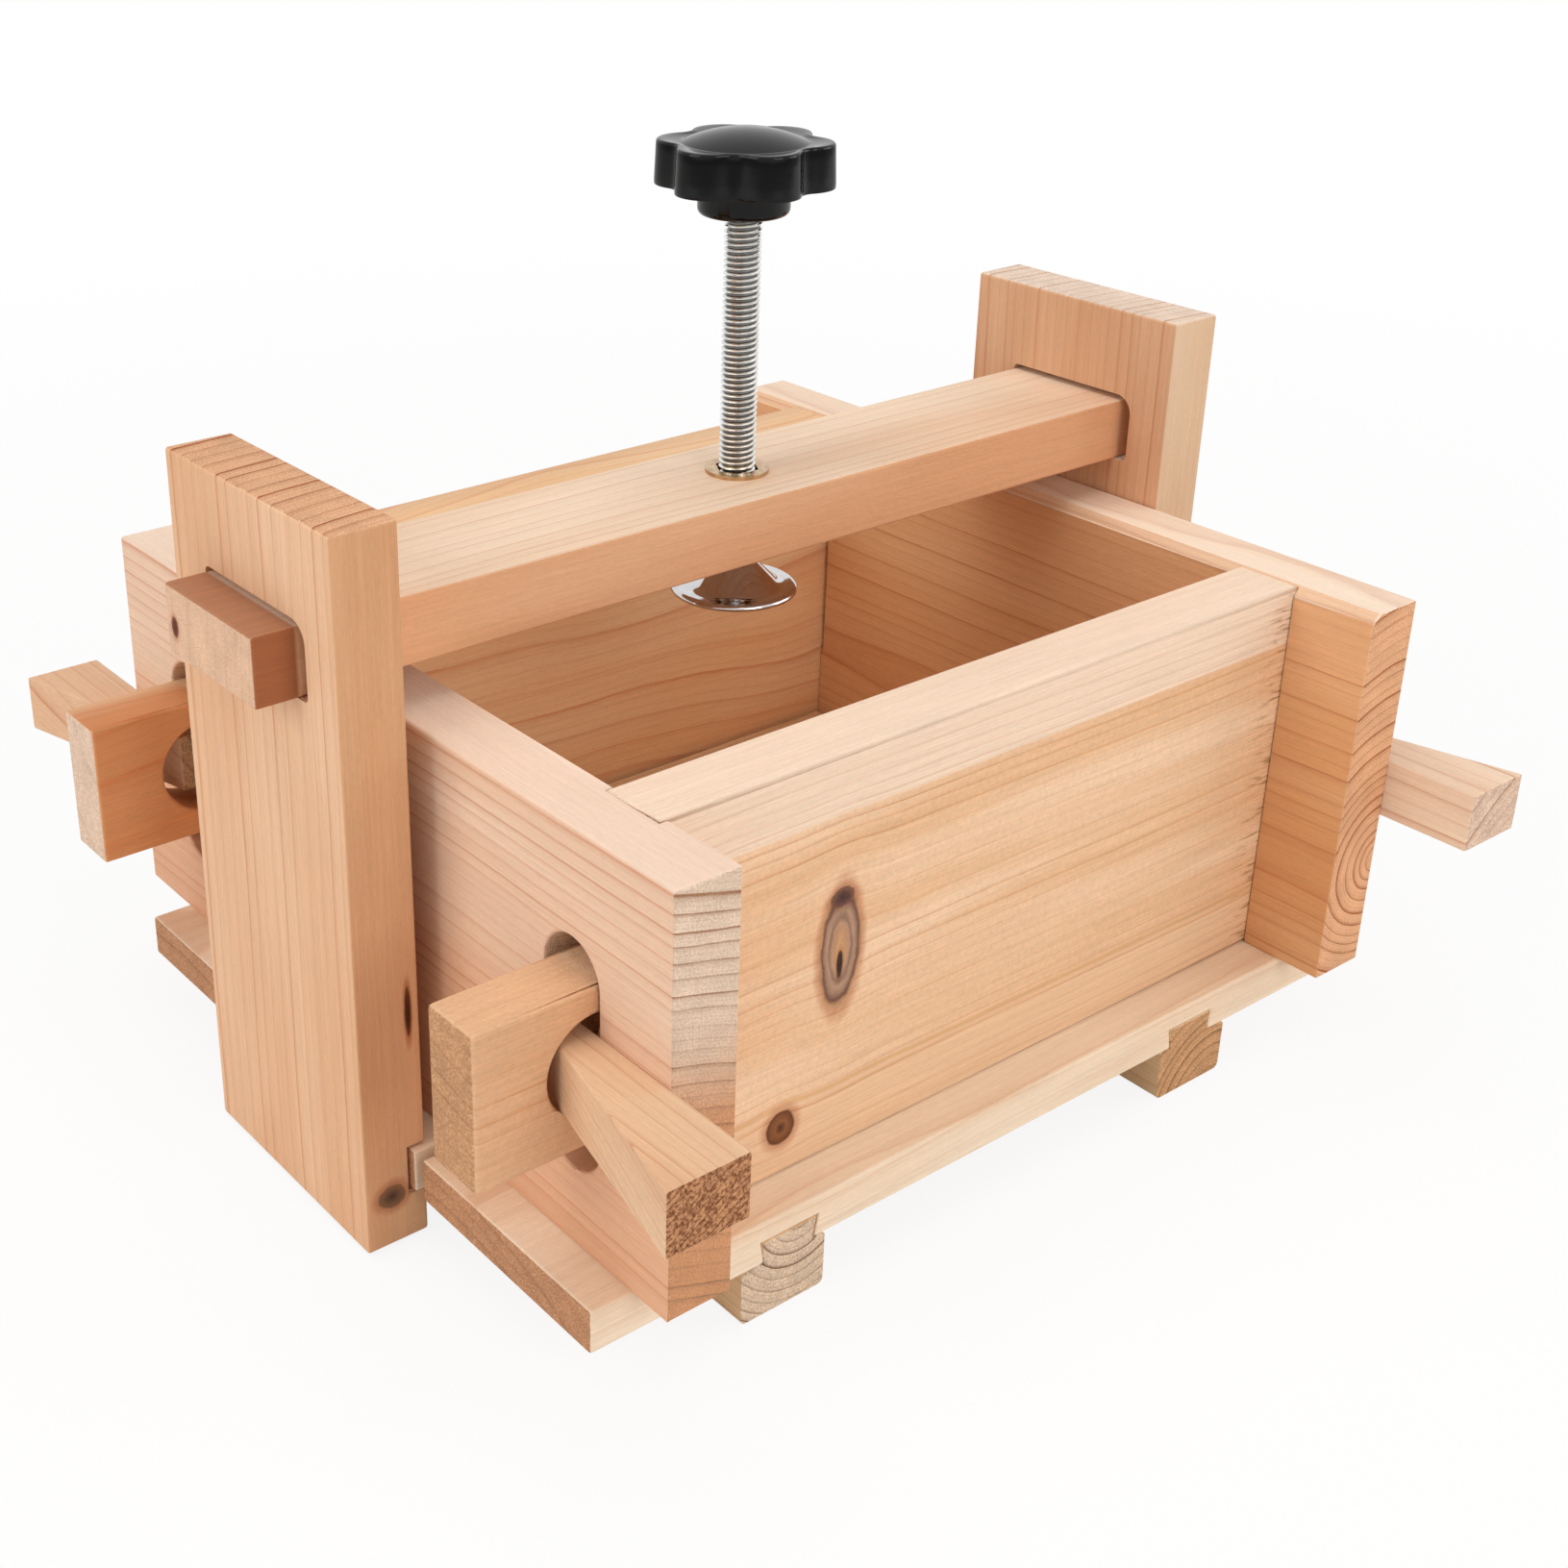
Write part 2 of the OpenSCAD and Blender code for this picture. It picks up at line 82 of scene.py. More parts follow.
class Finish:
    # the nodes of one material, or of the world, and the few ways of adding to them
    def __init__(self, owner):
        owner.use_nodes = True
        self.owner = owner
        self.tree = owner.node_tree

    def node(self, kind, settings=None, inputs=None, out=0):
        made = self.tree.nodes.new("ShaderNode" + kind)
        for key, value in (settings or {}).items():
            if key == "stops":
                self.fillRamp(made.color_ramp, value)
            else:
                setattr(made, key, value)
        for key, value in (inputs or {}).items():
            self.plug(made.inputs[key], value)
        return Wire(self, made.outputs[out])

    def plug(self, socket, value):
        if isinstance(value, Wire):
            self.tree.links.new(value.socket, socket)
        else:
            socket.default_value = value

    def fillRamp(self, ramp, stops):
        while len(ramp.elements) < len(stops):
            ramp.elements.new(1.0)
        for element, (place, colour) in zip(ramp.elements, stops):
            element.position = place
            element.color = linear(colour) if isinstance(colour, str) else (colour, colour, colour, 1.0)

    def maths(self, operation, *values):
        return self.node("Math", {"operation": operation}, dict(enumerate(values)))

    def distance(self, x, y):
        return self.maths("SQRT", x * x + y * y)

    def blend(self, factor, first, second, how="MIX"):
        # two colours mixed, sockets 6 and 7 of the node; factor 0 gives the first
        colours = [linear(c) if isinstance(c, str) else c for c in (first, second)]
        return self.node("Mix", {"data_type": "RGBA", "blend_type": how},
                         {0: factor, 6: colours[0], 7: colours[1]}, 2)

    def stain(self, colour, shade):
        return self.blend(1.0, colour, shade, "MULTIPLY")

    def brighten(self, colour, amount):
        return self.node("VectorMath", {"operation": "SCALE"}, {0: colour, "Scale": amount})

    def ease(self, value, low, high, start=0.0, end=1.0):
        # a smooth step from start to end as value goes from low to high
        return self.node("MapRange", {"interpolation_type": "SMOOTHSTEP"},
                         {0: value, 1: low, 2: high, 3: start, 4: end})

    def ramp(self, value, stops):
        return self.node("ValToRGB", {"stops": stops}, {0: value})

    def noise(self, x, y, z, detail=2.0, roughness=0.5):
        # soft noise, about 0.5 on average, of a point given in its own units
        point = self.node("CombineXYZ", inputs={0: x, 1: y, 2: z})
        return self.node("TexNoise", inputs={"Vector": point, "Scale": 1.0, "Detail": detail,
                                             "Roughness": roughness})

    def speckle(self, spot, scale, detail=2.0, roughness=0.5):
        # the same, alike in all directions, at scale grains to a millimetre
        return self.noise(*[axis * scale for axis in spot], detail, roughness)

    def split(self, vector):
        parts = self.node("SeparateXYZ", inputs={0: vector}).socket.node
        return [Wire(self, socket) for socket in parts.outputs]

    def millimetres(self):
        # the piece's own coordinates in millimetres
        return self.split(self.brighten(self.node("TexCoord", out="Object"), 1000.0))

    def facing(self, axis):
        # how squarely the surface faces along one of its own axes, from 0 to 1
        normal = self.split(self.node("TexCoord", out="Normal"))
        return self.maths("ABSOLUTE", normal["xyz".index(axis)])

    def bump(self, height, depth):
        # depth is how high the relief stands, in metres
        return self.node("Bump", inputs={"Strength": 1.0, "Distance": depth, "Height": height})

    def own(self, name, inputs):
        # a node that the tree came with, given the values or links of its sockets
        for key, value in inputs.items():
            self.plug(self.tree.nodes[name].inputs[key], value)
        return Wire(self, self.tree.nodes[name].outputs[0])

    def wear(self, **sockets):
        # what the surface is like, with _ for a space in a socket's name
        self.own("Principled BSDF", {key.replace("_", " "): value for key, value in sockets.items()})
        return self.owner

    def cover(self, shader):
        # shader takes the place of what the tree showed
        output = next(node for node in self.tree.nodes if node.bl_idname.startswith("ShaderNodeOutput"))
        self.plug(output.inputs["Surface"], shader)
        return self.owner


def newFinish(name):
    return Finish(bpy.data.materials.new(name))


# wood

anyBoard = {
    "grain": "x",              # the axis that the fibres run along
    "pith": (-60.0, -40.0),    # middle of the growth rings, across the grain, in mm
    "ring": 4.2,               # width of a growth ring in mm
    "early": "#f0d0ae",        # the wide pale part of a ring
    "tint": "#e8c09a",         # the tone that drifts through it
    "late": "#bf7f55",         # the thin dark line that ends a ring
    "lateShare": 0.75,         # how strong that line is
    "wave": 4.0,               # how far the rings wander along the board, in mm
    "ripple": 0.3,             # and over a short way
    "fibre": 0.13,             # how streaky the fibres are
    "saw": 0.0,                # how much the planing was skipped, leaving it rough
    "sawn": (-999.0, 999.0),   # and between which heights
    "driftWide": 26.0,         # how wide the drifts of tone are, in mm
    "endEarly": "#e6c8aa",     # the end grain between its rings
    "endLate": "#a9794f",      # and on them
    "endShare": 0.5,           # how strong the rings are there
    "pores": 0.35,             # how dark the end grain's open pores are
    "poreFine": 2.2,           # and how many there are in a millimetre
    "calm": {},                # how much the lines fade on the sides that face along an axis
    "faces": {},               # tints for the sides that face along an axis: partly the wood's own tone, partly painted shade for how light falls on each side
    "seed": 0.0,               # shifts the pattern, so that no two boards are alike
    "knots": [],               # each with its middle and half sizes in mm, along the grain first
    "bands": [],               # each a stretch of another tone, from and to in mm
    "torn": None,              # where the saw tore the fibres: from, to along the grain
}


def pushGrain(f, cut, across, spot):
    # each knot's distance field, 1 at its rim, from an ellipsoid with a wobble; the grain is pushed
    # aside round a knot, along one of the two axes across it, by shrinking the distance to its middle
    along, side, rise = spot
    fields = []
    for knot in cut["knots"]:
        middle, half = knot["at"], knot["half"]
        wobble = f.noise(along * 0.22 + cut["seed"], side * 0.22, rise * 0.22, 3.0, 0.6) - 0.5
        square = ((along - middle[0]) / half[0]) ** 2.0
        square = square + ((side - middle[1]) / half[1]) ** 2.0 + ((rise - middle[2]) / half[2]) ** 2.0
        fields.append((f.maths("SQRT", square) + wobble * knot.get("rough", 0.4), knot))
        if "push" in knot:
            push = f.maths("EXPONENT", square * -0.35) * knot["push"]
            if knot["across"] == across[0]:
                side = side - (side - middle[1]) * push
            else:
                rise = rise - (rise - middle[2]) * push
    return fields, (along, side, rise)


def growthRings(f, cut, spot):
    # rings round the pith: the wandering distance from it, counted in rings of uneven width. Some
    # years leave a bold line, others hardly any, and each line fades and comes back along the board.
    along, side, rise = spot
    seed = cut["seed"]
    wander = f.noise(along / 120.0 + seed, side / 48.0 + seed, rise / 48.0, 1.0, 0.4) - 0.5
    ripple = f.noise(along / 22.0, side / 9.0 + seed, rise / 9.0 + seed, 2.0, 0.5) - 0.5
    fromPith = f.maths("SQRT", (side - cut["pith"][0]) ** 2.0 + (rise - cut["pith"][1]) ** 2.0)
    grown = fromPith + wander * (2.0 * cut["wave"]) + ripple * (2.0 * cut["ripple"])
    uneven = f.noise(grown / (cut["ring"] * 2.7), seed, 3.7, 1.0, 0.5) - 0.5
    count = grown / cut["ring"] + uneven * 1.9
    bold = f.ramp(f.maths("FRACT", count), [(0.0, 0.0), (0.45, 0.02), (0.72, 0.14), (0.86, 0.42),
                                            (0.94, 1.0), (0.975, 0.8), (1.0, 0.0)])
    year = f.node("TexWhiteNoise", {"noise_dimensions": "1D"}, {"W": f.maths("FLOOR", count) + seed})
    fade = f.noise(along / 34.0 + seed, side / 5.0, rise / 5.0 + seed, 2.0, 0.5)
    bold = bold * (year ** 1.4 * 0.85 + 0.22) * (fade * 0.9 + 0.55)
    faint = f.ramp(f.maths("FRACT", count * 3.3 + seed), [(0.0, 0.0), (0.7, 0.05), (0.93, 1.0), (1.0, 0.0)])
    return bold, faint


def toneBands(f, cut, spot, drift):
    # the pale wood, its tint drifting through it, with the board's own bands of another tone,
    # and the end grain's tone with theirs
    places = dict(zip(("along", "side", "rise"), spot))
    early = f.blend(f.ease(drift, 0.32, 0.68), cut["early"], cut["tint"])
    endEarly = cut["endEarly"]
    for band in cut["bands"]:
        edge = places[band["of"]] + (drift - 0.5) * band.get("wander", 2.0)
        soft = band.get("soft", 0.5)
        inside = f.ease(edge, band["from"] - soft, band["from"] + soft)
        inside = inside * (1 - f.ease(edge, band["to"] - soft, band["to"] + soft))
        early = f.blend(inside * band.get("share", 1.0), early, band["shade"])
        if "end" in band:
            endEarly = f.blend(inside, endEarly, band["end"])
    return early, endEarly


def knotTones(f, fields, spot, colour):
    # on the board's colour, each knot's dark halo and its own tones from heart to rim
    along, side, rise = spot
    dark = 0.0
    for field, knot in fields:
        ripples = f.noise(field * 7.0, along * 0.2, rise * 0.2, 2.0, 0.6) - 0.5
        tone = f.brighten(f.ramp((field + ripples * 0.12) / 1.3, knot["tones"]), ripples * 0.5 + 1.0)
        inside = 1 - f.ease(field, 1.0, 1.2)
        halo = f.ease(field, 0.9, 1.15) * (1 - f.ease(field, 1.15, knot.get("haloTo", 1.9)))
        colour = f.blend(halo * knot.get("halo", 0.35), colour, f.stain(colour, "#c07a48"))
        colour = f.blend(inside * knot.get("share", 1.0), colour, tone)
        dark = inside + dark
    return colour, dark


def softwood(name, cut):
    f = newFinish(name)
    axes = dict(zip("xyz", f.millimetres()))
    grain, seed, fibre = cut["grain"], cut["seed"], cut["fibre"]
    across = [a for a in "xyz" if a != grain]
    knots, spot = pushGrain(f, cut, across, [axes[a] for a in [grain] + across])
    bold, faint = growthRings(f, cut, spot)
    along, side, rise = spot

    # fibres: streaks and finer streaks along the grain, specks, and short darker flecks
    streak = f.noise(along / 34.0 + seed, side * 1.5, rise * 1.5, 4.0, 0.66)
    speck = f.noise(along * 0.55 + seed, side * 2.1, rise * 2.1, 2.0, 0.7)
    fine = f.noise(along / 11.0, side * 3.4, rise * 3.4 + seed, 2.0, 0.6)
    fleck = f.ease(f.noise(along / 2.6 + seed, side * 2.3, rise * 2.3, 1.0, 0.5), 0.64, 0.76)
    drift = f.noise(along / 130.0, side / cut["driftWide"] + seed, rise / cut["driftWide"], 2.0, 0.5)
    level = (streak - 0.5) * (2.1 * fibre) + (fine - 0.5) * (1.1 * fibre) - fleck * 0.05 + 1.0
    level = level + (speck - 0.5) * 0.16
    height = fine * 0.25 + streak * 0.3 + speck * 0.3 + bold * 0.1

    early, endEarly = toneBands(f, cut, spot, drift)
    lines = f.maths("MINIMUM", bold * cut["lateShare"] + faint * (0.16 * cut["lateShare"]), 1.0)
    for axis, share in cut["calm"].items():
        lines = lines * (1 - f.ease(f.facing(axis), 0.5, 0.85) * share)
    colour = f.blend(lines, early, cut["late"])
    # painted shade: each side facing along an axis takes its tint, partly the wood's own tone and partly the light
    # and shade that side gets
    for axis, shade in cut["faces"].items():
        colour = f.blend(f.ease(f.facing(axis), 0.5, 0.85), colour, f.stain(colour, shade))

    if cut["saw"]:
        # where the planer missed, the saw left short bright and dull nicks across the fibres
        low, high = cut["sawn"]
        nicks = f.noise(along * 0.85 + seed, side * 1.1, rise * 0.75 + seed, 3.0, 0.7)
        rough = f.ease(rise, low - 1.5, low + 1.5) * (1 - f.ease(rise, high - 0.4, high + 0.4)) * cut["saw"]
        level = level + (nicks - 0.5) * rough * 0.3
        height = height + nicks * rough * 1.3
    colour = f.brighten(colour, level)

    # end grain: open pores, duller and rougher, with the rings standing out
    end = f.ease(f.facing(grain), 0.62, 0.86)
    pore = f.ease(f.noise(along * 0.4, side * cut["poreFine"] + seed, rise * cut["poreFine"], 2.0, 0.6), 0.4, 0.66)
    cloud = f.noise(along * 0.2, side * 0.16, rise * 0.16 + seed, 2.0, 0.5)
    endLines = f.maths("MINIMUM", bold * (1.5 * cut["endShare"]) + faint * (0.25 * cut["endShare"]), 1.0)
    endColour = f.blend(endLines, endEarly, cut["endLate"])
    endColour = f.blend(pore * cut["pores"], endColour, f.stain(endColour, cut["endLate"]))
    colour = f.blend(end, colour, f.brighten(endColour, (cloud - 0.5) * 0.35 + 1.0))
    height = height - pore * end * 0.9

    if cut["torn"]:
        # pulled fibres: dark slits and raised pale edges, longer towards the end of the stretch
        low, high = cut["torn"]
        slit = f.noise(along / 7.0, side * 1.3, rise * 1.25 + seed, 3.0, 0.6)
        reach = f.ease(along + (slit - 0.5) * 14.0, low, high) * f.ease(f.facing("y"), 0.6, 0.9)
        colour = f.blend(reach * f.ease(slit, 0.52, 0.66) * 0.75, colour, "#9a6c38")
        colour = f.blend(reach * (1 - f.ease(slit, 0.34, 0.44)) * 0.6, colour, "#f6dfae")

    if knots:
        colour, dark = knotTones(f, knots, spot, colour)
        height = height + dark * f.noise(along * 0.9, side * 0.9, rise * 0.9, 2.0, 0.6)
    shine = (streak - 0.5) * 0.2 + end * 0.22 - bold * 0.08 + 0.58
    return f.wear(Base_Color=colour, Roughness=shine, Normal=f.bump(height, 0.00018), Specular_IOR_Level=0.2)


def gapBetween(first, second):
    # the least distance from points along either edge to the other
    gap = 1.0
    for near, far in ((first, second), (second, first)):
        start, end = [v.co for v in near.verts]
        low, high = [v.co for v in far.verts]
        run = high - low
        for share in (0.0, 0.25, 0.5, 0.75, 1.0):
            point = start.lerp(end, share)
            foot = min(max((point - low).dot(run) / run.length_squared, 0.0), 1.0)
            gap = min(gap, (point - low - run * foot).length)
    return gap


def dockTip(work, docked):
    # shortens the end with the least y by some millimetres: each corner there moves towards its
    # mate at the other end, so that the sides keep their slant
    tip = min(v.co.y for v in work.verts)
    butt = max(v.co.y for v in work.verts)
    farCorners = [v for v in work.verts if v.co.y > butt - cornerReach]
    for v in [v for v in work.verts if v.co.y < tip + cornerReach]:
        mate = min(farCorners, key=lambda u: (u.co - v.co).length)
        v.co = v.co.lerp(mate.co, docked / 1000 / (butt - tip))


def added(name, data):
    # a new object in the scene
    made = bpy.data.objects.new(name, data)
    bpy.context.scene.collection.objects.link(made)
    return made


def takePlace(piece, body, node):
    # the piece moves with the body, in place of the CAD node
    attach(piece, body)
    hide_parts(node)


mergeGap = 2e-6                    # metres: corners nearer than this are one
cornerReach = 1e-4                 # metres: how near a wedge's end its corners lie
flatTurn = math.radians(0.4)       # faces that turn less than this are one flat face
sharpTurn = math.radians(28)       # edges that turn more than this are arrises


def easedBoard(node, body, cut, edge=0.7, segments=3, docked=0.0):
    # a copy of the CAD board, joined at its corners, with its outward arrises rounded by edge
    # millimetres; an arris beside a step too narrow to carry the rounding stays sharp
    work = bmesh.new()
    work.from_mesh(cadNodes[node].data)
    bmesh.ops.remove_doubles(work, verts=work.verts, dist=mergeGap)
    if docked:
        dockTip(work, docked)
    bmesh.ops.dissolve_limit(work, angle_limit=flatTurn, verts=work.verts, edges=work.edges)
    weight = work.edges.layers.float.new("bevel_weight_edge")
    room = 1.5 * edge / 1000
    for arris in work.edges:
        if len(arris.link_faces) == 2 and arris.calc_face_angle_signed(0.0) > sharpTurn:
            others = [e for face in arris.link_faces for e in face.edges if not set(e.verts) & set(arris.verts)]
            if min((gapBetween(arris, e) for e in others), default=1.0) > room:
                arris[weight] = 1.0
    mesh = bpy.data.meshes.new(node + "_wood")
    work.to_mesh(mesh)
    work.free()
    for layer in ("custom_normal", "normal"):
        if layer in mesh.attributes:
            mesh.attributes.remove(mesh.attributes[layer])
    mesh.shade_smooth()
    mesh.set_sharp_from_angle(angle=sharpTurn)
    mesh.materials.clear()
    mesh.materials.append(softwood(node + "_grain", {**anyBoard, **cut}))
    piece = added(node + "_wood", mesh)
    bevel = piece.modifiers.new("arris", "BEVEL")
    bevel.limit_method = "WEIGHT"
    bevel.width = edge / 1000
    bevel.segments = segments
    bevel.use_clamp_overlap = False
    bevel.harden_normals = True
    takePlace(piece, body, node)


# the box

# a pale smooth strip along the top, a rough-sawn field below it, and two knots
sideBoardFront = {
    "grain": "x", "pith": (-110.0, 260.0), "ring": 2.9, "wave": 1.6, "ripple": 0.22, "seed": 2.3,
    "early": "#efcca9", "tint": "#e5b88f", "late": "#c87e46", "lateShare": 0.6, "saw": 0.9, "fibre": 0.17,
    "sawn": (38.5, 99.4), "driftWide": 11.0, "endEarly": "#d7a57a", "endLate": "#ac744a", "torn": (82.0, 92.0),
    "calm": {"z": 0.7},
    "bands": [
        {"of": "along", "from": -140.0, "to": -99.0, "shade": "#dfb18a", "share": 0.9, "soft": 0.8, "wander": 0.0},
        {"of": "rise", "from": 99.4, "to": 130.0, "shade": "#f0d6be", "share": 0.9, "soft": 0.3, "wander": 0.8},
        {"of": "rise", "from": 0.0, "to": 38.5, "shade": "#e8c09a", "share": 0.75, "soft": 0.8, "wander": 5.0},
        {"of": "rise", "from": 37.6, "to": 38.8, "shade": "#cf9658", "share": 0.5, "soft": 0.5, "wander": 5.0},
    ],
    "knots": [
        {"at": (-41.35, -82.0, 69.7), "half": (5.0, 60.0, 12.2), "across": "z", "push": 0.12, "rough": 0.3,
         "halo": 0.5, "haloTo": 1.5,
         "tones": [(0.0, "#c8996c"), (0.2, "#c09068"), (0.36, "#b48a6c"), (0.44, "#8f6c5a"), (0.54, "#b18c70"),
                   (0.64, "#9c7760"), (0.72, "#6e4a3e"), (0.79, "#a87a54"), (1.0, "#c89466")]},
        {"at": (-41.4, -82.0, 80.4), "half": (2.7, 60.0, 2.0), "across": "z", "rough": 0.9, "halo": 0.3,
         "tones": [(0.0, "#3a2022"), (0.4, "#4a2a28"), (0.75, "#6e4434"), (1.0, "#8a5c42")], "share": 0.9},
        {"at": (-41.3, -82.0, 66.6), "half": (0.7, 60.0, 2.5), "across": "z", "rough": 0.7, "halo": 0.4,
         "tones": [(0.0, "#22120a"), (0.6, "#3c2416"), (1.0, "#6e4a2c")]},
        {"at": (-55.05, -82.0, 33.8), "half": (3.3, 30.0, 3.5), "across": "z", "push": 0.35, "rough": 0.4,
         "halo": 0.5, "tones": [(0.0, "#33180c"), (0.16, "#5e3418"), (0.32, "#8a5430"), (0.6, "#7a4826"),
                                (0.82, "#5c3218"), (1.0, "#a8713e")]},
    ],
}
easedBoard("side_board_front", "box", sideBoardFront, edge=1.0)

# its base tones are painted lighter than the wood, standing in for light inside the box; the top and the outer
# half are tinted back down
sideBoardRear = {
    "grain": "x", "pith": (190.0, -40.0), "ring": 6.2, "wave": 10.0, "ripple": 0.4, "seed": 11.7,
    "early": "#ffe0b6", "tint": "#fdd09e", "late": "#d06c34", "lateShare": 0.85,
    "endEarly": "#f2d4bc", "endLate": "#b0805c", "endShare": 0.3, "pores": 0.2, "faces": {"z": "#eee4de"},
    # painted shade darkens the tenon beyond the left end board, beside the upright
    "bands": [{"of": "along", "from": -140.0, "to": -99.0, "shade": "#d18852", "share": 0.85, "soft": 1.0},
              {"of": "side", "from": 77.0, "to": 110.0, "shade": "#edcba4", "share": 0.75, "soft": 4.0}],
}
easedBoard("side_board_rear", "box", sideBoardRear, edge=0.8)

endBoardLeft = {
    "grain": "y", "pith": (-150.0, -120.0), "ring": 3.0, "wave": 3.0, "ripple": 0.25, "seed": 5.1,
    "early": "#f3decb", "tint": "#edcfb8", "late": "#c87c50", "lateShare": 0.6, "calm": {"z": 0.85},
    "endEarly": "#f6dcc4", "endLate": "#b0805e", "endShare": 0.75, "pores": 0.2, "faces": {"x": "#fcf4ec"},
    # darker and browner towards the bottom, on its faces and end grain: partly the wood's own tone, partly painted
    # shade
    "bands": [{"of": "rise", "from": 0.0, "to": 73.0, "shade": "#e2ae8a", "share": 0.75, "soft": 12.0,
               "wander": 18.0, "end": "#dca074"}],
}
easedBoard("end_board_left", "box", endBoardLeft)

endBoardRight = {
    "grain": "y", "pith": (105.9, 49.0), "ring": 2.8, "wave": 2.0, "ripple": 0.25, "seed": 7.9,
    "early": "#f5e0c8", "tint": "#ebcaa9", "late": "#b86c3e", "lateShare": 0.55, "calm": {"z": 0.4},
    "endEarly": "#f6bd90", "endLate": "#b0602f", "endShare": 1.0, "pores": 0.2, "faces": {"x": "#ecc9a6"},
    "bands": [{"of": "rise", "from": 92.0, "to": 130.0, "shade": "#f6ddc6", "share": 0.7, "soft": 5.0,
               "wander": 6.0}],
}
easedBoard("end_board_right", "box", endBoardRight, edge=0.45)
print("box boards made")

# the wedges, each cut from a different stick

wedges = {
    "wedge_front_left": {"pith": (50.0, -200.0), "seed": 1.2, "ring": 1.3, "early": "#e3be9a",
                         "tint": "#d9ac88", "endEarly": "#cc9468", "endLate": "#84502f", "endShare": 1.0,
                         "pores": 0.8, "poreFine": 1.6},
    "wedge_front_right": {"pith": (150.0, 20.0), "seed": 3.4, "ring": 2.8, "early": "#f0d8bf",
                          "tint": "#e6c4a8", "endEarly": "#f0d2ba", "endLate": "#b88868"},
    "wedge_rear_left": {"pith": (-70.0, 90.0), "seed": 6.6, "ring": 3.4, "docked": 4.5},
    "wedge_rear_right": {"pith": (90.0, 20.0), "seed": 9.1, "ring": 3.0},
}
wedgeWood = {
    "grain": "y", "wave": 1.4, "ripple": 0.2, "early": "#ecc8a6", "tint": "#e2b591", "late": "#bf7448",
    "lateShare": 0.55, "endEarly": "#d9b088", "endLate": "#a06c44", "endShare": 0.7,
}
for wedgeName, stick in wedges.items():
    easedBoard(wedgeName, wedgeName, {**wedgeWood, **stick}, edge=0.45, segments=2,
               docked=stick.get("docked", 0.0))   # docked leaves the tenon's hole emptier, as in the photo
print("wedges made")

# the slatted base

basePlank = {
    "grain": "x", "ring": 4.6, "wave": 5.0, "ripple": 0.3, "early": "#f3dfc6", "tint": "#eaceb0",
    "late": "#c9844e", "lateShare": 0.5, "endEarly": "#d29c74", "endLate": "#a06c48",
}
for row, plankName in enumerate(("base_plank_front", "base_plank_centre", "base_plank_rear")):
    easedBoard(plankName, "root", {**basePlank, "pith": (-40.0 + 60 * row, -70.0 - 20 * row),
                                   "seed": 12.0 + 3.3 * row})

baseBatten = {
    "grain": "y", "ring": 2.6, "wave": 1.6, "ripple": 0.3, "early": "#ecc9a0", "tint": "#deb48a",
    "late": "#ad7a4e", "lateShare": 0.6, "endLate": "#845a38", "endShare": 1.0, "pores": 0.3, "saw": 0.4,
}
battens = {
    "base_batten_left": {"pith": (-58.0, 22.0), "seed": 21.0, "endEarly": "#f2d8bc"},
    "base_batten_right": {"pith": (70.0, -6.0), "seed": 25.0, "endEarly": "#e0ac7c"},
}
for battenName, stick in battens.items():
    easedBoard(battenName, "root", {**baseBatten, **stick}, edge=0.5)
print("base made")

# the press frame

uprightLeft = {
    "grain": "z", "pith": (-100.0, -110.0), "ring": 4.4, "wave": 1.8, "ripple": 0.2, "seed": 31.0,
    "early": "#e9bf9a", "tint": "#dfae86", "late": "#c0703e", "lateShare": 0.65, "fibre": 0.15,
    "endEarly": "#f0bc92", "endLate": "#a85a30", "endShare": 1.0, "pores": 0.22, "faces": {"y": "#eee2d6"},
    "calm": {"y": 0.45},
    "knots": [
        {"at": (55.2, -108.35, -31.0), "half": (5.2, 0.7, 3.0), "across": "x", "rough": 0.35, "halo": 0.6,
         "tones": [(0.0, "#2c1408"), (0.5, "#4e2812"), (0.85, "#7e4824"), (1.0, "#a86e44")]},
        {"at": (13.0, -113.95, -31.0), "half": (2.6, 3.0, 5.0), "across": "x", "push": 0.4, "rough": 0.5,
         "halo": 0.5, "tones": [(0.0, "#3f2a1e"), (0.4, "#6b4a34"), (0.85, "#8b6244"), (1.0, "#b08460")]},
    ],
}
easedBoard("upright_left", "upright_left", uprightLeft)

uprightRight = {
    "grain": "z", "pith": (100.0, -200.0), "ring": 3.2, "wave": 2.4, "ripple": 0.3, "seed": 37.0,
    "early": "#ecd4b8", "tint": "#e1bf9d", "late": "#c47a48", "lateShare": 0.6, "calm": {"y": 0.7},
    "faces": {"x": "#f9e1d1", "y": "#f4ede7"},
    "endEarly": "#fbe4d0", "endLate": "#c88e64", "endShare": 0.7, "pores": 0.1,
}
easedBoard("upright_right", "upright_right", uprightRight)

topBeam = {
    "grain": "x", "pith": (-170.0, 108.0), "ring": 3.6, "wave": 3.0, "ripple": 0.2, "seed": 41.0,
    "early": "#f2d7bc", "tint": "#e9c3a3", "late": "#c87e4e", "lateShare": 0.5, "faces": {"y": "#f7dac2"},
    "calm": {"y": 0.8},
    "bands": [{"of": "along", "from": -140.0, "to": -120.0, "shade": "#a26c4c", "share": 0.95, "soft": 0.6,
               "wander": 0.0}],
    "endEarly": "#eec4a4", "endLate": "#b88a6a", "endShare": 0.2, "pores": 0.06,
    "knots": [
        {"at": (-129.3, 13.6, 127.6), "half": (8.0, 1.2, 2.0), "across": "z", "rough": 0.3, "halo": 0.4,
         "tones": [(0.0, "#5a2c1c"), (0.6, "#744030"), (1.0, "#9c6a50")]},
    ],
}
easedBoard("top_beam", "root", topBeam)
print("frame made")

# the press board and its rail, wetter and browner from use

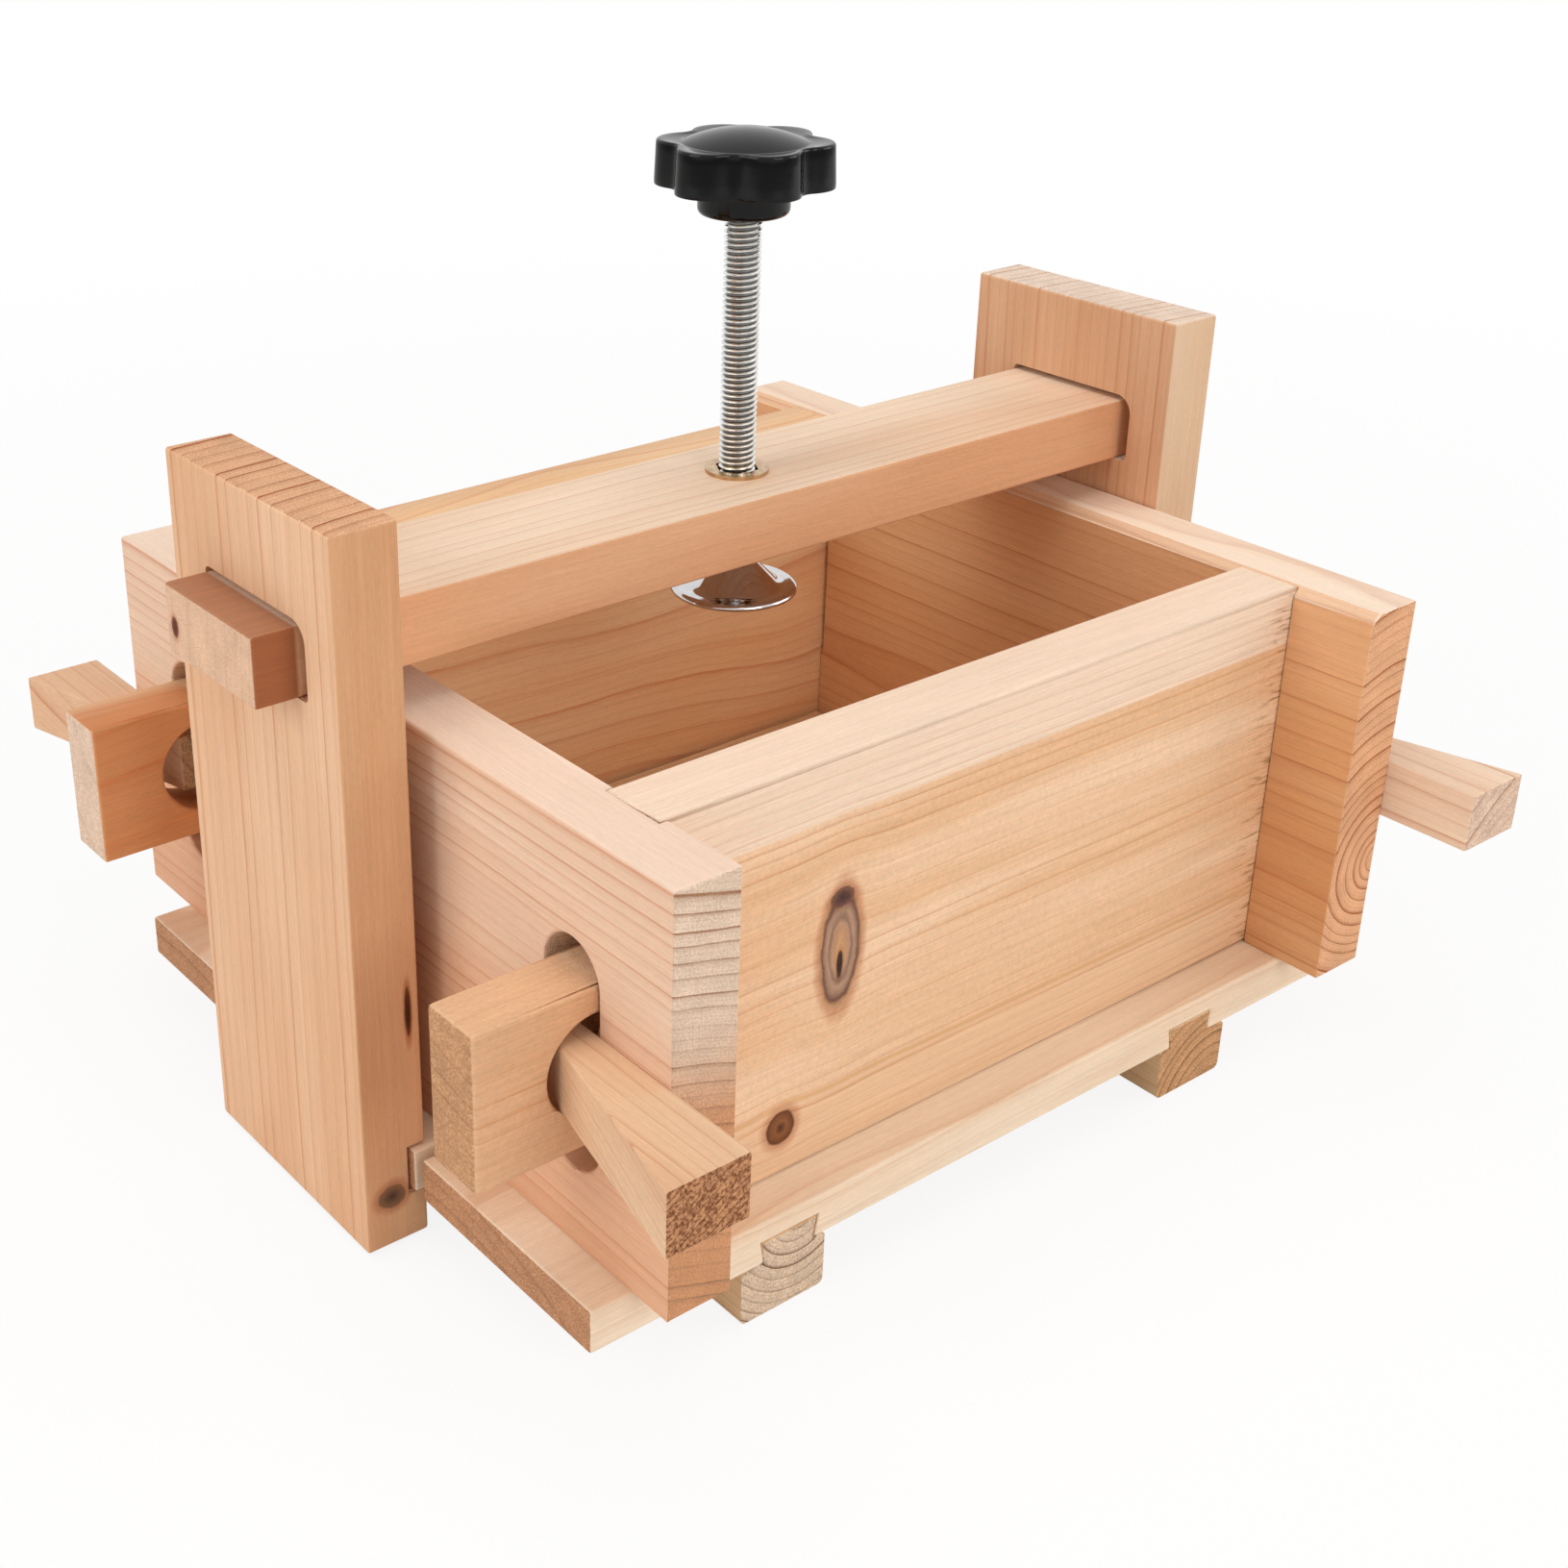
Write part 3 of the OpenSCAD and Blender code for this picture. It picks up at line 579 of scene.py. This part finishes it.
pressWood = {
    "grain": "x", "ring": 4.4, "wave": 5.0, "ripple": 0.3, "early": "#dfb68c", "tint": "#d0a274",
    "late": "#a06438", "lateShare": 0.65, "endEarly": "#c99a6c", "endLate": "#8a5a34",
}
easedBoard("press_board", "press", {**pressWood, "pith": (-30.0, -80.0), "seed": 51.0}, edge=0.6)
easedBoard("press_rail", "press", {**pressWood, "pith": (10.0, 90.0), "seed": 57.0}, edge=0.8)
print("press board made")

# turned and threaded metal, and the moulded knob

doubleGap = 1e-6       # metres: points of a grid nearer than this are one
spentEdge = 1e-7       # and an edge shorter than this is none


def skin(name, grid, body, node, material, ringStep=0, smooth=35.0):
    # a closed skin over a grid of points: rows run along it and each row closes into a ring,
    # ringStep rows further on for a surface that climbs as it goes round
    rows, columns = grid.shape[:2]
    row = np.arange(rows - 1 - ringStep)[:, None]
    column = np.arange(columns)[None, :]
    wraps = (column + 1) // columns
    here = row * columns + column
    beside = (row + wraps * ringStep) * columns + (column + 1) % columns
    quads = np.stack([here, beside, beside + columns, here + columns], -1).reshape(-1, 4)
    mesh = bpy.data.meshes.new(name)
    mesh.from_pydata(grid.reshape(-1, 3).tolist(), [], quads.tolist())
    work = bmesh.new()
    work.from_mesh(mesh)
    bmesh.ops.remove_doubles(work, verts=work.verts, dist=doubleGap)
    bmesh.ops.dissolve_degenerate(work, edges=work.edges, dist=spentEdge)
    bmesh.ops.delete(work, geom=[v for v in work.verts if not v.link_faces], context="VERTS")
    bmesh.ops.recalc_face_normals(work, faces=work.faces)
    work.to_mesh(mesh)
    work.free()
    mesh.shade_smooth()
    mesh.set_sharp_from_angle(angle=math.radians(smooth))
    mesh.materials.append(material)
    takePlace(added(name, mesh), body, node)


def rounded(corners, steps=5):
    # a profile through corners (radius, height, rounding): each corner is replaced by a quadratic
    # curve that leaves one side rounding before the corner and joins the next rounding after it
    points = np.array([c[:2] for c in corners], float)
    path = [points[:1]]
    t = np.linspace(0, 1, steps + 1)[:, None]
    for k in range(1, len(corners) - 1):
        before, corner, after = points[k - 1:k + 2]
        reach = corners[k][2]
        if reach <= 0:
            path.append(points[k:k + 1])
            continue
        enter = corner + (before - corner) / np.linalg.norm(before - corner) * reach
        leave = corner + (after - corner) / np.linalg.norm(after - corner) * reach
        path.append((1 - t) ** 2 * enter + 2 * t * (1 - t) * corner + t ** 2 * leave)
    path.append(points[-1:])
    return np.concatenate(path)


def turned(profile, columns=96):
    # the profile's (radius, height) swept round the screw's axis, in metres
    angle = np.linspace(0, 2 * np.pi, columns, endpoint=False)
    radius, height = profile[:, :1] / 1000, profile[:, 1:] / 1000
    return np.stack([radius * np.cos(angle), radius * np.sin(angle), height + 0 * angle], -1)


def inMillimetres(box):
    return [[c * 1000 for c in corner] for corner in box]


footLow, footHigh = inMillimetres(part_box("presser_foot"))
rodLow, rodHigh = inMillimetres(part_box("screw_rod"))
knobLow = inMillimetres(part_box("star_knob"))[0]
padLow, padHigh = inMillimetres(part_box("foot_pad"))


rod = {
    "pitch": 1.25, "crestR": 3.98, "rootR": 3.23,
    "neckR": 4.0, "neckAbove": 1.4,     # the plain neck, and how far it stands above the foot
    "neckChamfer": 0.5, "lap": 0.6,     # its upper chamfer, and how far the thread starts inside it
    "flareHigh": 1.0,                   # the flared end's straight edge, below its 45 degree cone
}


def brightZinc():
    # plated steel: bright crests, duller roots darkened grey with painted shade, faint tarnish
    f = newFinish("bright_zinc")
    x, y, z = f.millimetres()
    cloud = f.noise(x * 0.35, y * 0.35, z * 0.18, 3.0, 0.6)
    grit = f.speckle((x, y, z), 3.0, 2.0, 0.6)
    # painted shade: near the axis, in the thread's roots, the colour turns dark grey; the roots are also rougher
    root = 1 - f.ease(f.distance(x, y), 3.25, 3.8)
    colour = f.blend(root * 0.85, f.blend(f.ease(cloud, 0.35, 0.7), "#f2f2f0", "#dcdbd7"), "#4c4a47")
    return f.wear(Base_Color=colour, Metallic=1.0, Roughness=cloud * 0.08 + grit * 0.06 + root * 0.1 + 0.08,
                  Normal=f.bump(grit, 0.00002))


def threadGrid(rod, low, high, columns=48):
    # a right-hand thread: along one pitch the radius holds at the crest, falls down a flank, holds at
    # the root and climbs again, while the height gains one pitch with each turn of the angle. Past
    # either end the height stays at the end and the radius shrinks to nothing over one pitch.
    share = np.array([0.0, 0.125, 0.18, 0.38, 0.4375, 0.56, 0.6875, 0.745, 0.945])   # of the pitch
    depth = np.array([1.0, 1.0, 0.9, 0.12, 0.0, -0.03, 0.0, 0.12, 0.9])              # 1 crest, 0 root
    turns = int(np.ceil((high - low) / rod["pitch"])) + 3
    base = (np.arange(turns)[:, None] + share[None, :]).reshape(-1) - 1.5
    angle = np.arange(columns) / columns
    height = low + rod["pitch"] * (base[:, None] + angle[None, :])
    thread = rod["crestR"] - rod["rootR"]
    reach = rod["rootR"] + thread * np.tile(depth, turns)[:, None] + 0 * angle
    lead = np.clip(np.minimum(height - low, high - height) / rod["pitch"], 0, 1)
    past = np.maximum(np.maximum(low - height, height - high), 0) / rod["pitch"]
    reach = np.minimum(reach, rod["rootR"] + thread * lead) * np.clip(1 - past, 0, 1)
    height = np.clip(height, low, high)
    turn = 2 * np.pi * angle[None, :]
    return np.stack([reach * np.cos(turn), reach * np.sin(turn), height], -1) / 1000, len(share)


zincFinish = brightZinc()
neckTop = footHigh[2] + rod["neckAbove"]
threadPoints, rowsPerTurn = threadGrid(rod, neckTop - rod["lap"], rodHigh[2])
skin("screw_thread", threadPoints, "screw", "screw_rod", zincFinish, rowsPerTurn)
flareR = (rodHigh[0] - rodLow[0]) / 2
flareTop = rodLow[2] + rod["flareHigh"]
neckProfile = rounded([
    (0, rodLow[2], 0), (flareR, rodLow[2], 0.3), (flareR, flareTop, 0.3),
    (rod["neckR"], flareTop + flareR - rod["neckR"], 0.2), (rod["neckR"], neckTop - rod["neckChamfer"], 0.0),
    (rod["neckR"] - rod["neckChamfer"], neckTop, 0.0), (0, neckTop, 0)])
skin("rod_neck", turned(neckProfile), "screw", "screw_rod", zincFinish)
print("rod made")


def moulded():
    # glossy phenolic: near black, with moulding haze, a few scuffs, and a paler tone on what faces up, partly dust
    # and partly painted sheen
    f = newFinish("black_phenolic")
    x, y, z = f.millimetres()
    haze = f.speckle((x, y, z), 0.12, 3.0, 0.5)
    scuff = f.ease(f.noise(x * 0.9, y * 0.9, z * 0.35 + 4.0, 3.0, 0.7), 0.6, 0.75)
    colour = f.blend(scuff * 0.2, f.blend(haze, "#040405", "#0a090b"), "#1a181c")
    # what faces up is paler: partly dust, partly painted sheen of the light from above
    dustAndSheen = f.ease(f.facing("z"), 0.75, 0.98) * (haze * 0.8 + 0.3)
    peel = f.speckle((x, y, z), 0.8)
    return f.wear(Base_Color=f.blend(dustAndSheen, colour, "#111012"), Roughness=haze * 0.04 + scuff * 0.04 + 0.055,
                  Normal=f.bump(peel, 0.000004), Specular_IOR_Level=0.22)


knob = {
    "lobes": 6, "turn": 12.0, "across": 37.7, "lobeR": 7.0, "valleyR": 4.2,   # the CAD knob's own arcs
    "hubR": 9.7, "hubHigh": 5.9, "rimHigh": 9.2, "domeR": 13.15, "domeHigh": 2.5,
    "boreR": 3.9, "boreDeep": 1.2,     # the hollow round the rod, in the hub's underside
    "shelf": 2.0,                      # the flat ring between the hub and the lobes' underside
    "lowEase": 0.15, "topEase": 0.6,   # how far the lobes' lower and upper edges are rounded
    "skirt": 1.1,      # the lobes' straight lower part
    "draft": 0.35,     # how much they shrink from there to the top
    "dish": 0.35,      # how far the ring round the dome is sunk
}


def knobOutline(knob, angle):
    # the distance from the axis to the knob's edge: on a lobe it is the far side of a circle set
    # on the lobe's middle line, and in a hollow the near side of a circle that touches both lobes
    half = np.pi / knob["lobes"]
    off = np.abs((angle - math.radians(knob["turn"]) + half) % (2 * half) - half)
    lobeAt = knob["across"] / 2 - knob["lobeR"]
    reach = knob["lobeR"] + knob["valleyR"]
    valleyAt = lobeAt * math.cos(half) + math.sqrt(reach ** 2 - (lobeAt * math.sin(half)) ** 2)
    onLobe = lobeAt * np.cos(off) + np.sqrt(knob["lobeR"] ** 2 - (lobeAt * np.sin(off)) ** 2)
    away = half - off
    inside = np.maximum(knob["valleyR"] ** 2 - (valleyAt * np.sin(away)) ** 2, 0)
    onValley = valleyAt * np.cos(away) - np.sqrt(inside)
    # the two circles touch on the line between their middles
    touch = np.array([lobeAt + (valleyAt * math.cos(half) - lobeAt) * knob["lobeR"] / reach,
                      valleyAt * math.sin(half) * knob["lobeR"] / reach])
    return np.where(off < math.atan2(touch[1], touch[0]), onLobe, onValley)


def knobGrid(knob, low, columns=240):
    # rows of points from the hub's underside, out under the lobes, up their sides and over the dome.
    # A row is (share, ring, drop, height): its radius is share times the lobed edge less drop,
    # plus the rest times a plain circle of radius ring. The ring round the dome sinks by a squared
    # sine, and the dome is a cap cut off a ball.
    angle = np.linspace(0, 2 * np.pi, columns, endpoint=False)
    edge = knobOutline(knob, angle)
    hubR, draft, dish = knob["hubR"], knob["draft"], knob["dish"]
    lowEase, topEase, domeR = knob["lowEase"], knob["topEase"], knob["domeR"]
    lobeLow = low + knob["hubHigh"]
    sideLow = lobeLow + knob["skirt"]
    top = lobeLow + knob["rimHigh"]
    hub = rounded([(knob["boreR"], low + knob["boreDeep"], 0), (knob["boreR"], low, 0.4), (hubR, low, 1.6),
                   (hubR, lobeLow, 0.7), (hubR + knob["shelf"], lobeLow, 0)])
    rows = [(0, r, 0, z) for r, z in [(0, low + knob["boreDeep"])] + hub.tolist()]
    for turn in np.linspace(0, np.pi / 2, 4):        # the lobes' lower edge
        rows.append((1, 0, lowEase * (1 - math.sin(turn)), lobeLow + lowEase * (1 - math.cos(turn))))
    for t in (0.0, 0.25, 0.5, 0.75, 1.0):            # their drafted sides
        rows.append((1, 0, draft * t, sideLow + (top - topEase - sideLow) * t))
    for turn in np.linspace(0, np.pi / 2, 6)[1:]:    # their upper edge
        rows.append((1, 0, draft + topEase * (1 - math.cos(turn)), top - topEase * (1 - math.sin(turn))))
    for t in (0.2, 0.45, 0.7, 0.88, 1.0):            # the dished ring round the dome
        rows.append((1 - t, domeR, draft + topEase, top - dish * math.sin(math.pi * t / 2) ** 2))
    rise = knob["domeHigh"] + dish
    bow = (domeR ** 2 + rise ** 2) / (2 * rise)      # the ball's radius
    for r in domeR * np.array([0.985, 0.95, 0.88, 0.78, 0.66, 0.52, 0.36, 0.18, 0.0]):
        rows.append((0, r, 0, top + knob["domeHigh"] - bow + math.sqrt(bow ** 2 - r ** 2)))
    share, ring, drop, height = np.array(rows).T[:, :, None]
    radius = share * (edge[None, :] - drop) + (1 - share) * ring
    return np.stack([radius * np.cos(angle), radius * np.sin(angle), height + 0 * angle], -1) / 1000


skin("knob_shell", knobGrid(knob, knobLow[2]), "screw", "star_knob", moulded(), smooth=60.0)
print("knob made")


def chromed():
    # polished plate with faint wipe marks and tiny water specks
    f = newFinish("foot_chrome")
    spot = f.millimetres()
    wipe = f.speckle(spot, 0.5, 3.0, 0.6)
    speck = f.ease(f.speckle(spot, 2.4), 0.7, 0.76)
    colour = f.blend(speck * 0.5, f.blend(wipe, "#dcdbdb", "#c6c4c4"), "#8f8f90")
    return f.wear(Base_Color=colour, Metallic=1.0, Roughness=wipe * 0.06 + speck * 0.3 + 0.03,
                  Normal=f.bump(wipe, 0.00001))


foot = {
    "neckR": 4.06, "lip": 1.4,            # the hole for the rod, and how deep its straight edge goes
    "crownFlat": 0.6,                     # the flat ring round it, where the cone starts
    "ringFlat": 4.0, "rim": 1.5,          # the flat ring at the cone's foot: its width and height
    "rimSlope": 0.7, "rimFrom": 0.3, "rimTo": 0.95, "rimUnder": 0.4,   # how the rim's edge is turned
    "recessR": 12.3, "recessDeep": 0.4, "hollowR": 9.6,                # its underside
    "wallUnder": 0.1,                     # how far the hollow stays off the rod's hole
}
footR = (footHigh[0] - footLow[0]) / 2
footZ, crownZ = footLow[2], footHigh[2]
footProfile = rounded([
    (foot["neckR"], crownZ - foot["lip"], 0), (foot["neckR"], crownZ, 0.15),
    (foot["neckR"] + foot["crownFlat"], crownZ, 0.3), (footR - foot["ringFlat"], footZ + foot["rim"], 1.4),
    (footR - foot["rimSlope"], footZ + foot["rim"], 0.6), (footR, footZ + foot["rimTo"], 0.35),
    (footR, footZ + foot["rimFrom"], 0.25), (footR - foot["rimUnder"], footZ, 0.2),
    (foot["recessR"], footZ, 0.15), (foot["recessR"], footZ + foot["recessDeep"], 0.0),
    (foot["hollowR"], footZ + foot["recessDeep"], 0.3),
    (foot["neckR"] + foot["wallUnder"], crownZ - foot["lip"] + foot["wallUnder"], 0.0),
    (foot["neckR"], crownZ - foot["lip"], 0)], steps=6)
skin("foot_cup", turned(footProfile, 128), "foot", "presser_foot", chromed(), smooth=50.0)


def plasticPad():
    f = newFinish("pad_plastic")
    grain = f.speckle(f.millimetres(), 1.5, 3.0, 0.6)
    return f.wear(Base_Color=f.blend(grain, "#1d1d1f", "#2b2b2d"), Roughness=grain * 0.2 + 0.45,
                  Normal=f.bump(grain, 0.00004))


pad = {"edgeHigh": 0.6, "shoulderR": 8.9, "crownR": 6.1}
padR = (padHigh[0] - padLow[0]) / 2
padEdge = padLow[2] + pad["edgeHigh"]
padProfile = rounded([(0, padLow[2], 0), (padR, padLow[2], 0.25), (padR, padEdge, 0.1),
                      (pad["shoulderR"], padEdge, 0.2), (pad["crownR"], padHigh[2], 0.3), (0, padHigh[2], 0)])
skin("pad_disc", turned(padProfile), "foot", "foot_pad", plasticPad())
print("foot made")


def yellowZinc():
    # yellow-passivated plate with a faint rainbow drift and gritty dull spots
    f = newFinish("yellow_zinc")
    spot = f.millimetres()
    grit = f.speckle(spot, 2.5, 3.0, 0.6)
    colour = f.ramp(f.speckle(spot, 0.3),
                    [(0.3, "#b89c78"), (0.45, "#cdb48a"), (0.55, "#c49a80"), (0.7, "#ac9c6a")])
    return f.wear(Base_Color=colour, Metallic=1.0, Roughness=grit * 0.16 + 0.16, Normal=f.bump(grit, 0.00002))


def bushBrass():
    # turned brass, its fine rings round the screw's axis
    f = newFinish("bush_brass")
    x, y, z = f.millimetres()
    lathe = f.noise(f.distance(x, y) * 4.0, z * 4.0, 1.0)
    return f.wear(Base_Color=f.blend(lathe, "#b08d45", "#c9a65c"), Metallic=1.0, Roughness=lathe * 0.2 + 0.2,
                  Normal=f.bump(lathe, 0.00002))


# these two solids are right as they are, and take a better finish
for bareNode, bareFinish in {"threaded_insert": yellowZinc(), "knob_bush": bushBrass()}.items():
    cadNodes[bareNode].data.materials.clear()
    cadNodes[bareNode].data.materials.append(bareFinish)
print("insert and bush finished")


# table, light and camera

table = {
    "half": 6.0,                 # half its side, in metres
    "lift": 0.87,                # how far the camera sees it lifted to white near the press
    "pure": (250.0, 900.0),      # between these distances from the press, in mm, it turns pure white
}
pureWhite = (1.0, 1.0, 1.0, 1.0)


def paleTable():
    # a pale table that keeps the press's shadow, lifted towards white for the camera only
    f = newFinish("table_white")
    x, y, z = f.millimetres()
    mottle = f.blend(f.noise(x * 0.01, y * 0.01, 0.0), "#f1f0ee", "#f5f4f2")
    plain = f.own("Principled BSDF", {"Base Color": mottle, "Roughness": 0.8})
    lift = f.node("LightPath", out="Is Camera Ray") * f.ease(f.distance(x, y), *table["pure"], table["lift"])
    glow = f.node("Emission", inputs={"Color": pureWhite})
    return f.cover(f.node("MixShader", inputs={0: lift, 1: plain, 2: glow}))


half = table["half"]
tableMesh = bpy.data.meshes.new("table")
tableMesh.from_pydata([(-half, -half, 0), (half, -half, 0), (half, half, 0), (-half, half, 0)], [], [(0, 1, 2, 3)])
tableMesh.materials.append(paleTable())
added("table", tableMesh)

studio = {"colour": (1.0, 0.985, 0.965, 1.0), "strength": 0.35}
bpy.context.scene.world = bpy.data.worlds.new("studio")
air = Finish(bpy.context.scene.world)
# the camera and polished metal see plain white, and the press is lit by the sky's softer colour
seesWhite = air.maths("MAXIMUM", *[air.node("LightPath", out=ray) for ray in ("Is Camera Ray", "Is Glossy Ray")])
sky = air.own("Background", {"Color": studio["colour"], "Strength": studio["strength"]})
white = air.node("Background", inputs={"Color": pureWhite})
air.cover(air.node("MixShader", inputs={0: seesWhite, 1: sky, 2: white}))

lamps = {
    # name: place in metres, size in metres, watts
    "overhead": ((-0.1, 0.15, 1.5), 1.4, 10.4),
    "left": ((-1.35, 0.15, 0.75), 1.0, 8.3),
    "right": ((1.1, -0.75, 0.55), 0.8, 5.0),
    "front": ((-0.1, -1.45, 0.7), 0.8, 6.6),
}
aim = np.array([0, 0, 0.08])     # the middle of the press, which every lamp faces
for lampName, (place, size, watts) in lamps.items():
    light = bpy.data.lights.new(lampName, "AREA")
    light.size = size
    light.energy = watts
    lamp = added(lampName, light)
    lamp.location = place
    away = aim - np.array(place)
    tilt = math.atan2(math.hypot(away[0], away[1]), -away[2])
    lamp.rotation_euler = Euler((tilt, 0, math.atan2(away[1], away[0]) - math.pi / 2))

view = {
    "place": (-0.29330, -0.33886, 0.29103),                        # in metres
    "focal": 2243.04, "middle": (617.8, 719.7), "frame": 1631.0,   # in the photo's pixels
    "yaw": 36.94, "pitch": 25.0, "roll": 0.15,                     # in degrees
    "sensor": 36.0,                                                # in millimetres
}
lens = bpy.data.cameras.new("camera")
lens.sensor_width = view["sensor"]
lens.lens = view["sensor"] * view["focal"] / view["frame"]
lens.shift_x = (view["frame"] / 2 - view["middle"][0]) / view["frame"]
lens.shift_y = (view["middle"][1] - view["frame"] / 2) / view["frame"]
lens.clip_start = 0.01
camera = added("camera", lens)
camera.location = view["place"]
camera.rotation_euler = Euler((math.radians(90 - view["pitch"]), math.radians(view["roll"]),
                               -math.radians(view["yaw"])))
bpy.context.scene.camera = camera
bpy.context.scene.view_settings.view_transform = "Standard"
print("table, light and camera set")

bpy.context.view_layer.update()
